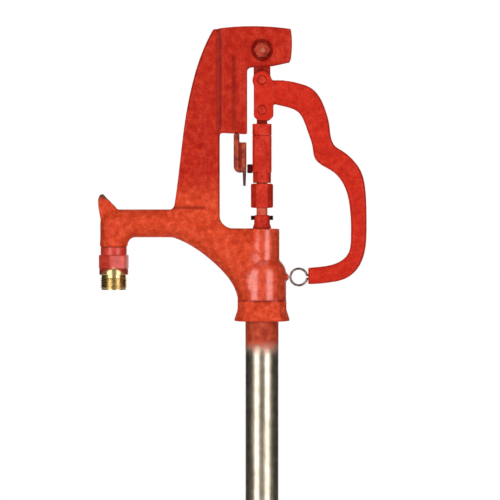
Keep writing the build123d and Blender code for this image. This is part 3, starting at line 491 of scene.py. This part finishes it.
def castCopy(node, body, settings):
    # a copy of a CAD node with the soft corners and slightly uneven skin of a sand casting
    form = bmesh.new()
    form.from_mesh(nodes[node].data)
    bmesh.ops.remove_doubles(form, verts=form.verts, dist=mergeGap)
    for low, high in settings.get("webs", ()):  # small fillings between bars that touch on the real one
        size = Vector(high) - Vector(low)
        middle = (Vector(high) + Vector(low)) / 2
        bmesh.ops.create_cube(form, matrix=Matrix.Translation(middle) @ Matrix.Diagonal((*size, 1)))
    piece = newPiece(node + "_cast", form)
    skin = piece.modifiers.new("skin", "REMESH")
    skin.mode = "VOXEL"
    skin.voxel_size = settings["voxel"]
    blend = piece.modifiers.new("blend", "SMOOTH")
    blend.factor = castSkin["smoothing"]
    blend.iterations = settings["passes"]
    finishModifiers(piece)
    for low, high, passes in settings.get("softened", ()):
        softenRibs(piece, low, high, passes)
    roughenSkin(piece.data, settings["uneven"], settings["unevenSize"])
    for fold in settings.get("folds", ()):
        pressFold(piece.data, fold)
    piece.data.update()
    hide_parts(node)
    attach(piece, body)
    print(piece.name, len(piece.data.polygons), "faces")
    return piece


cheekRibs = (-50 * mm, 10.5 * mm)  # outer edge of the ribs on the cheeks, and how far out they start
castings = {
    "head_casting": {
        "body": "head", "finish": castEnamel, "voxel": 1.1 * mm, "passes": 3, "uneven": 0.14 * mm,
        "unevenSize": 12 * mm,
        "softened": [  # two corners of each region, measured on one flank, and passes of smoothing
            ((-24 * mm, 12 * mm, overFoot(1.5)), (24 * mm, 26 * mm, overFoot(19)), 14),
            ((*cheekRibs, overFoot(191)), (-17 * mm, 20 * mm, overFoot(269)), 40),
            ((*cheekRibs, overFoot(269)), (-36 * mm, 20 * mm, overFoot(294)), 40)],
        "folds": [
            {"from": 190, "to": 294, "middle": -43.0 * mm, "width": 3.6 * mm, "depth": 1.1 * mm},
            {"from": 190, "to": 267, "middle": -34.5 * mm, "width": 3.0 * mm, "depth": -0.8 * mm},
            {"from": 190, "to": 267, "middle": -28.2 * mm, "width": 3.0 * mm, "depth": 1.0 * mm},
            {"from": 190, "to": 267, "middle": -23.2 * mm, "width": 2.4 * mm, "depth": -0.6 * mm}]},
    "lever": {
        "body": "lever", "finish": leverEnamel, "voxel": 0.85 * mm, "passes": 6, "uneven": 0.18 * mm,
        "unevenSize": 9 * mm},
    "fulcrum_link": {
        "body": "link", "finish": forgedEnamel, "voxel": 0.55 * mm, "passes": 4, "uneven": 0.08 * mm,
        "unevenSize": 5 * mm},
    "rod_eye": {
        "body": "rod", "finish": forgedEnamel, "voxel": 0.5 * mm, "passes": 8, "uneven": 0.08 * mm,
        "unevenSize": 5 * mm},
    "rod_coupling": {
        "body": "rod", "finish": forgedEnamel, "voxel": 0.5 * mm, "passes": 12, "uneven": 0.08 * mm,
        "unevenSize": 5 * mm},
    "coupling_lock_nut": {
        "body": "rod", "finish": forgedEnamel, "voxel": 0.45 * mm, "passes": 3, "uneven": 0.05 * mm,
        "unevenSize": 5 * mm},
    "packing_nut": {
        "body": "head", "finish": forgedEnamel, "voxel": 0.45 * mm, "passes": 3, "uneven": 0.05 * mm,
        "unevenSize": 5 * mm},
    "lock_hook": {
        "body": "head", "finish": wornEnamel, "voxel": 0.4 * mm, "passes": 3, "uneven": 0.08 * mm,
        "unevenSize": 4 * mm,
        "webs": [((-22.9 * mm, -13.9 * mm, overFoot(155)), (-21.3 * mm, -11.9 * mm, overFoot(180.2)))]},
    "valve_body": {
        "body": "head", "finish": valveBronze, "voxel": 0.9 * mm, "passes": 2, "uneven": 0.1 * mm,
        "unevenSize": 7 * mm},
}
for node, settings in castings.items():
    piece = castCopy(node, settings["body"], settings)
    dress(piece, settings["finish"])
print("castings made")


# the hose nozzle: a painted hexagon over bare brass with a cut thread

nozzle = {
    "boreRadius": 9.0 * mm, "mouthEdge": 0.6 * mm, "mouthStep": 0.2 * mm,
    "threadRadius": 13.45 * mm, "threadDepth": 1.05 * mm, "threadHeight": 15.0 * mm,
    "leadIn": 0.9 * mm, "firstTurn": 1.4 * mm, "pitch": 2.2 * mm, "runOut": 1.0 * mm,
    "crestStart": 0.75 * mm, "crestEnd": 1.15 * mm, "flankEnd": 1.9 * mm,  # heights within one turn
    "collarRadius": 14.6 * mm, "collarHeight": 6.0 * mm, "collarFoot": 0.5 * mm, "collarTop": 0.4 * mm,
    "seatStep": 1.6 * mm, "seatRise": 0.2 * mm,  # under the hexagon, out of sight
    "hexCorner": 15.8 * mm, "hexHeight": 14.3 * mm, "hexTurn": 19, "hexEdge": 0.9 * mm, "hexGap": 0.15 * mm,
    "neckRadius": 13.2 * mm, "neckHeight": 7.7 * mm, "neckFoot": 1.0 * mm, "neckEdge": 0.4 * mm,
    "neckEdgeHeight": 0.2 * mm, "shankRadius": 10.6 * mm, "shankHeight": 16.0 * mm,
    "steps": 96, "sharpAngle": 32, "hexSharpAngle": 40,  # these two and the hexagon's turn in degrees
}


def nozzleProfile(mouth, collar, hexFoot, hexTop):
    # radius and height of each corner, from the bore at the mouth up the outside to the top of the shank
    s = nozzle
    bore, flare, neck = s["boreRadius"], s["collarRadius"], s["neckRadius"]
    crest, root = s["threadRadius"], s["threadRadius"] - s["threadDepth"]
    neckTop = hexTop + s["neckHeight"]
    shankTop = neckTop + s["shankHeight"]
    profile = [(bore, mouth + s["mouthEdge"]), (bore + s["mouthEdge"], mouth)]
    profile += [(root - s["mouthStep"], mouth), (root, mouth + s["leadIn"])]
    turn = mouth + s["firstTurn"]
    while turn + s["pitch"] < collar - s["runOut"]:  # ring grooves stand in for the thread's shallow helix
        profile += [(root, turn), (crest, turn + s["crestStart"])]
        profile += [(crest, turn + s["crestEnd"]), (root, turn + s["flankEnd"])]
        turn += s["pitch"]
    profile += [(root, collar - s["leadIn"]), (root, collar), (flare - s["collarFoot"], collar)]
    profile += [(flare, collar + s["collarFoot"]), (flare, hexFoot - s["collarTop"])]
    profile += [(flare - s["collarTop"], hexFoot), (flare - s["seatStep"], hexFoot + s["seatRise"])]
    profile += [(neck - s["neckFoot"], hexTop - s["neckFoot"]), (neck, hexTop)]
    profile += [(neck, neckTop - s["neckEdgeHeight"]), (neck - s["neckEdge"], neckTop)]
    return profile + [(s["shankRadius"], neckTop), (s["shankRadius"], shankTop), (bore, shankTop)]


def nozzleBrass(profile, centre):
    form = bmesh.new()
    corners = [form.verts.new((centre.x + radius, centre.y, height)) for radius, height in profile]
    edges = [form.edges.new((a, b)) for a, b in zip(corners, corners[1:] + corners[:1])]
    bmesh.ops.spin(form, geom=corners + edges, cent=centre, axis=(0, 0, 1), dvec=(0, 0, 0), angle=math.tau,
                   steps=nozzle["steps"], use_merge=True, use_duplicate=False)
    bmesh.ops.remove_doubles(form, verts=form.verts, dist=mergeGap)
    bmesh.ops.recalc_face_normals(form, faces=form.faces)
    turned = newPiece("nozzle_brass", form)
    turned.data.set_sharp_from_angle(angle=math.radians(nozzle["sharpAngle"]))
    return turned


def nozzleHexagon(centre, foot):
    # a six-sided block with rounded edges, which the turned brass runs through
    form = bmesh.new()
    place = Matrix.Translation((centre.x, 0, foot + nozzle["hexGap"]))
    bmesh.ops.create_circle(form, cap_ends=True, segments=6, radius=nozzle["hexCorner"], matrix=place)
    first = next(iter(form.verts)).co - centre
    turn = math.radians(nozzle["hexTurn"]) - math.atan2(first.y, first.x)
    bmesh.ops.rotate(form, cent=centre, matrix=Matrix.Rotation(turn, 3, "Z"), verts=form.verts)
    risen = bmesh.ops.extrude_face_region(form, geom=form.faces[:])["geom"]
    top = [item for item in risen if isinstance(item, bmesh.types.BMVert)]
    bmesh.ops.translate(form, verts=top, vec=(0, 0, nozzle["hexHeight"] - 2 * nozzle["hexGap"]))
    bmesh.ops.recalc_face_normals(form, faces=form.faces)
    bmesh.ops.bevel(form, geom=form.edges, offset=nozzle["hexEdge"], affect="EDGES", segments=4, profile=0.5,
                    material=-1)
    hexagon = newPiece("nozzle_hexagon", form)
    hexagon.data.set_sharp_from_angle(angle=math.radians(nozzle["hexSharpAngle"]))
    return hexagon


nozzlePaint = {
    "wander": 5 * mm, "wanderReach": 6 * mm, "droop": 0.55,  # how far the paint reaches down at the sides
    "edge": 10.2 * mm, "edgeLow": 1.2 * mm, "edgeHigh": 1.6 * mm,  # over the thread
    "blotch": 6 * mm, "peel": 1.6 * mm, "peelStrength": 0.35, "peelDepth": 0.12 * mm,
    # painted shade under the hexagon: where it starts and ends over the thread, its strength and its colour
    "shadeLow": 4.5 * mm, "shadeHigh": 8 * mm, "shadeAmount": 0.75, "paintedShade": "#6b2015",
    "paint": ((0.3, "#a8281d"), (0.6, "#c93f2e")), "brass": ((0.3, "#a5874f"), (0.55, "#d6bc84")),
    "brassRoughness": 0.3, "paintRoughness": 0.33,
}


def paintOverBrass(middle, threadTop):
    # red enamel sprayed over the brass fitting: whole on the neck and hexagon, thin and ragged on the collar,
    # where the bare brass shows through at the front and back
    s = nozzlePaint
    material, tree, shader, place = newMaterial("red enamel over brass")
    apart = addNode(tree, "ShaderNodeSeparateXYZ", {"Vector": place})
    height = apart.outputs["Z"]
    wander = addNode(tree, "ShaderNodeTexNoise", {
        "Vector": place, "Scale": 1 / s["wander"], "Detail": 5.0}).outputs["Fac"]
    ragged = addNode(tree, "ShaderNodeMath", {0: wander, 1: s["wanderReach"], 2: height},
                     operation="MULTIPLY_ADD")
    across = addNode(tree, "ShaderNodeMath", {0: apart.outputs["X"], 1: middle}, operation="SUBTRACT")
    aside = addNode(tree, "ShaderNodeMath", {0: across.outputs["Value"]}, operation="ABSOLUTE")
    droop = addNode(tree, "ShaderNodeMath", {
        0: aside.outputs["Value"], 1: s["droop"], 2: ragged.outputs["Value"]}, operation="MULTIPLY_ADD")
    edge = threadTop + s["edge"]
    cover = addNode(tree, "ShaderNodeMapRange", {
        "Value": droop.outputs["Value"], "From Min": edge - s["edgeLow"], "From Max": edge + s["edgeHigh"]},
        interpolation_type="SMOOTHSTEP").outputs["Result"]
    blotches = addNode(tree, "ShaderNodeTexNoise", {"Vector": place, "Scale": 1 / s["blotch"], "Detail": 4.0})
    paint = addNode(tree, "ShaderNodeValToRGB", {"Fac": blotches.outputs["Fac"]}, s["paint"])
    shadeUnderHexagon = addNode(tree, "ShaderNodeMapRange", {
        "Value": height, "From Min": threadTop + s["shadeLow"], "From Max": threadTop + s["shadeHigh"],
        "To Min": s["shadeAmount"], "To Max": 0.0})
    under = addNode(tree, "ShaderNodeMix", {
        0: shadeUnderHexagon.outputs["Result"], 6: paint.outputs["Color"], 7: colour(s["paintedShade"])},
        data_type="RGBA")  # painted shade on the collar under the hexagon
    bright = addNode(tree, "ShaderNodeValToRGB", {"Fac": wander}, s["brass"])
    mixed = addNode(tree, "ShaderNodeMix", {0: cover, 6: bright.outputs["Color"], 7: under.outputs[2]},
                    data_type="RGBA")
    metal = addNode(tree, "ShaderNodeMath", {0: 1.0, 1: cover}, operation="SUBTRACT")
    rough = addNode(tree, "ShaderNodeMapRange", {
        "Value": cover, "To Min": s["brassRoughness"], "To Max": s["paintRoughness"]})
    peel = addNode(tree, "ShaderNodeTexNoise", {"Vector": place, "Scale": 1 / s["peel"], "Detail": 3.0})
    bump = addNode(tree, "ShaderNodeBump", {
        "Height": peel.outputs["Fac"], "Strength": s["peelStrength"], "Distance": s["peelDepth"]})
    plug(tree, shader, {
        "Base Color": mixed.outputs[2], "Metallic": metal.outputs["Value"],
        "Roughness": rough.outputs["Result"], "Normal": bump.outputs["Normal"]})
    return material


nozzleLow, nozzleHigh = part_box("hose_nozzle")
nozzleCentre = Vector(((nozzleLow.x + nozzleHigh.x) / 2, 0, 0))
threadTop = nozzleLow.z + nozzle["threadHeight"]
hexFoot = threadTop + nozzle["collarHeight"]
profile = nozzleProfile(nozzleLow.z, threadTop, hexFoot, hexFoot + nozzle["hexHeight"])
turned = nozzleBrass(profile, nozzleCentre)
hexagon = nozzleHexagon(nozzleCentre, hexFoot)
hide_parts("hose_nozzle")
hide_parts("hose_nozzle")
paintedBrass = paintOverBrass(nozzleCentre.x, threadTop)
for piece in (turned, hexagon):
    dress(piece, paintedBrass)
    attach(piece, "head")
print("hose nozzle made")


# the CAD nodes that keep their own shape

nodeMaterials = {
    "casing_pipe": zincPipe, "valve_seat": yellowBrass, "gland_pins": blackOxide,
    "packing_gland": yellowBrass, "packing_rings": packingCord, "fulcrum_bolt": boltEnamel,
    "fulcrum_washer": boltEnamel, "fulcrum_nut": boltEnamel, "link_pin": forgedEnamel,
    "rod_pin": forgedEnamel, "lock_ring": platedWire, "set_screw": screwEnamel, "operating_rod": drawnRod,
    "rod_guide": yellowBrass, "plunger_body": yellowBrass, "plunger_o_rings": blackRubber,
    "plunger_seal": blackRubber, "seal_washer": zincPlate, "seal_screw": zincPlate,
}
for node, material in nodeMaterials.items():
    dress(nodes[node], material)
print("carried-over nodes dressed")


# floor, lamps, world and camera

studio = {  # in metres where no mm stands beside it, with turns and the view's lift in degrees
    "floorRadius": 1.3, "floorDrop": 0.6 * mm, "floorShades": ((0.3, "#ecebe8"), (0.7, "#f2f1ee")),
    "floorGrain": 100 / 3 * mm, "floorRoughness": 0.9, "floorSides": 96, "cardSides": 128,
    "fadeStart": 0.2, "fadeEnd": 0.96, "fadeLeast": 0.5,  # the end is a share of the floor's radius
    "cardRadius": 1.5, "cardHeight": 4.6, "cardDrop": 0.5, "cardStrength": 4.2,
    "cardFadeStart": 1.3, "cardFadeEnd": 2.1, "cardFadeShare": 0.08,
    "cards": {"front": "#2e2c2a", "side": "#1c1b1a", "strip": "#ffffff", "far": "#a8a5a0"},
    # round the ring: 0 and 1 lie towards -X, a quarter is -Y, the front, and three quarters the back
    "cardRing": ((0.02, "side"), (0.10, "side"), (0.12, "strip"), (0.175, "strip"), (0.195, "front"),
                 (0.305, "front"), (0.325, "strip"), (0.38, "strip"), (0.40, "side"), (0.48, "side"),
                 (0.66, "side"), (0.72, "far"), (0.78, "far"), (0.84, "side")),
    "boxTurn": 28, "boxDistance": 1.35, "boxMiddle": 0.87, "boxWidth": 0.32, "boxHeight": 1.7,
    "boxPower": 9.8, "backBoxTurn": 150, "backBoxPower": 9,
    "topTurn": -15, "topDistance": 0.9, "topMiddle": 2.1, "topWidth": 0.8, "topPower": 7,
    "worldLevel": 0.12,
    "viewHeight": 0.505, "viewDistance": 3.2, "viewLift": 1.5, "sensorWidth": 36, "viewEnd": 50,
    "viewCentre": Vector((-0.0121, 0, 0.8667)),
}


def makeFloor():
    # pale and matt, and towards its rim it fades into the white behind it
    form = bmesh.new()
    bmesh.ops.create_circle(form, cap_ends=True, segments=studio["floorSides"], radius=studio["floorRadius"],
                            matrix=Matrix.Translation((0, 0, -studio["floorDrop"])))
    floor = newPiece("floor", form, smooth=False)
    material, tree, shader, place = newMaterial("pale matt floor")
    grain = addNode(tree, "ShaderNodeTexNoise", {
        "Vector": place, "Scale": 1 / studio["floorGrain"], "Detail": 4.0})
    tint = addNode(tree, "ShaderNodeValToRGB", {"Fac": grain.outputs["Fac"]}, studio["floorShades"])
    plug(tree, shader, {"Base Color": tint.outputs["Color"], "Roughness": studio["floorRoughness"]})
    far = addNode(tree, "ShaderNodeVectorMath", {0: place}, operation="LENGTH")
    fade = addNode(tree, "ShaderNodeMapRange", {
        "Value": far.outputs["Value"], "From Min": studio["fadeStart"],
        "From Max": studio["floorRadius"] * studio["fadeEnd"], "To Min": studio["fadeLeast"]},
        interpolation_type="SMOOTHSTEP")
    glow = addNode(tree, "ShaderNodeEmission", {"Color": (1, 1, 1, 1), "Strength": 1.0})
    rays = addNode(tree, "ShaderNodeLightPath")
    seen = addNode(tree, "ShaderNodeMath", {
        0: rays.outputs["Is Camera Ray"], 1: rays.outputs["Is Glossy Ray"]}, operation="MAXIMUM")
    amount = addNode(tree, "ShaderNodeMath", {0: fade.outputs["Result"], 1: seen.outputs["Value"]},
                     operation="MULTIPLY")
    both = addNode(tree, "ShaderNodeMixShader", {
        0: amount.outputs["Value"], 1: shader.outputs["BSDF"], 2: glow.outputs["Emission"]})
    showInstead(tree, both.outputs["Shader"])
    dress(floor, material)


def makeCards():
    # a ring of cards, dark but for two bright strips, that only reflections see: it shapes the highlights
    form = bmesh.new()
    middle = studio["cardHeight"] / 2 - studio["cardDrop"]
    bmesh.ops.create_cone(form, cap_ends=False, segments=studio["cardSides"], radius1=studio["cardRadius"],
                          radius2=studio["cardRadius"], depth=studio["cardHeight"],
                          matrix=Matrix.Translation((0, 0, middle)))
    cards = newPiece("grey_cards", form)
    material, tree, shader, place = newMaterial("grey studio cards")
    turn = addNode(tree, "ShaderNodeTexGradient", {"Vector": place}, gradient_type="RADIAL")
    ring = addNode(tree, "ShaderNodeValToRGB", {"Fac": turn.outputs["Fac"]},
                   [(at, studio["cards"][card]) for at, card in studio["cardRing"]])
    # the cards darken above head height, so that the bright strips don't run on over rounded tops
    height = addNode(tree, "ShaderNodeSeparateXYZ", {"Vector": place}).outputs["Z"]
    level = addNode(tree, "ShaderNodeMapRange", {
        "Value": height, "From Min": studio["cardFadeStart"], "From Max": studio["cardFadeEnd"],
        "To Min": studio["cardStrength"], "To Max": studio["cardFadeShare"] * studio["cardStrength"]},
        interpolation_type="SMOOTHSTEP")
    glow = addNode(tree, "ShaderNodeEmission", {
        "Color": ring.outputs["Color"], "Strength": level.outputs["Result"]})
    showInstead(tree, glow.outputs["Emission"])
    dress(cards, material)
    cards.visible_camera = False
    cards.visible_diffuse = False
    cards.visible_transmission = False
    cards.visible_shadow = False


def addLamp(name, turn, distance, height, width, tall, power):
    # a soft box that only lights: what the gloss mirrors is the ring of cards
    lamp = bpy.data.lights.new(name, "AREA")
    lamp.shape = "RECTANGLE"
    lamp.size = width
    lamp.size_y = tall
    lamp.energy = power
    holder = bpy.data.objects.new(name, lamp)
    bpy.context.scene.collection.objects.link(holder)
    angle = math.radians(turn)
    aim = Vector((0, 0, studio["boxMiddle"]))
    place = Vector((math.sin(angle) * distance, -math.cos(angle) * distance, height))
    holder.location = place
    holder.rotation_euler = (aim - place).to_track_quat("-Z", "Y").to_euler()
    holder.visible_camera = False
    holder.visible_glossy = False


def makeLamps():
    s = studio
    for side in (-1, 1):
        addLamp("soft box", side * s["boxTurn"], s["boxDistance"], s["boxMiddle"], s["boxWidth"],
                s["boxHeight"], s["boxPower"])
        addLamp("back box", side * s["backBoxTurn"], s["boxDistance"], s["boxMiddle"], s["boxWidth"],
                s["boxHeight"], s["backBoxPower"])
    addLamp("top box", s["topTurn"], s["topDistance"], s["topMiddle"], s["topWidth"], s["topWidth"],
            s["topPower"])


def makeWorld():
    # white to the camera and to reflections, and a faint fill light
    world = bpy.data.worlds.new("white studio")
    bpy.context.scene.world = world
    world.use_nodes = True
    tree = world.node_tree
    tree.nodes.clear()
    rays = addNode(tree, "ShaderNodeLightPath")
    seen = rays.outputs["Is Camera Ray"]
    for kind in ("Is Glossy Ray", "Is Transmission Ray"):
        seen = addNode(tree, "ShaderNodeMath", {0: seen, 1: rays.outputs[kind]},
                       operation="MAXIMUM").outputs["Value"]
    level = addNode(tree, "ShaderNodeMapRange", {
        "Value": seen, "To Min": studio["worldLevel"], "To Max": 1.0})
    glow = addNode(tree, "ShaderNodeBackground", {"Color": (1, 1, 1, 1), "Strength": level.outputs["Result"]})
    addNode(tree, "ShaderNodeOutputWorld", {"Surface": glow.outputs["Background"]})


def makeCamera():
    s = studio
    lens = bpy.data.cameras.new("camera")
    lens.sensor_width = s["sensorWidth"]
    lens.lens = s["sensorWidth"] * s["viewDistance"] / s["viewHeight"]
    lens.clip_end = s["viewEnd"]
    holder = bpy.data.objects.new("camera", lens)
    bpy.context.scene.collection.objects.link(holder)
    lift = math.radians(s["viewLift"])
    away = Vector((0, -math.cos(lift), math.sin(lift))) * s["viewDistance"]
    holder.location = s["viewCentre"] + away
    holder.rotation_euler = (-away).to_track_quat("-Z", "Y").to_euler()
    bpy.context.scene.camera = holder


makeFloor()
makeCards()
makeLamps()
makeWorld()
makeCamera()
bpy.context.scene.view_settings.view_transform = "Standard"
print("studio made")
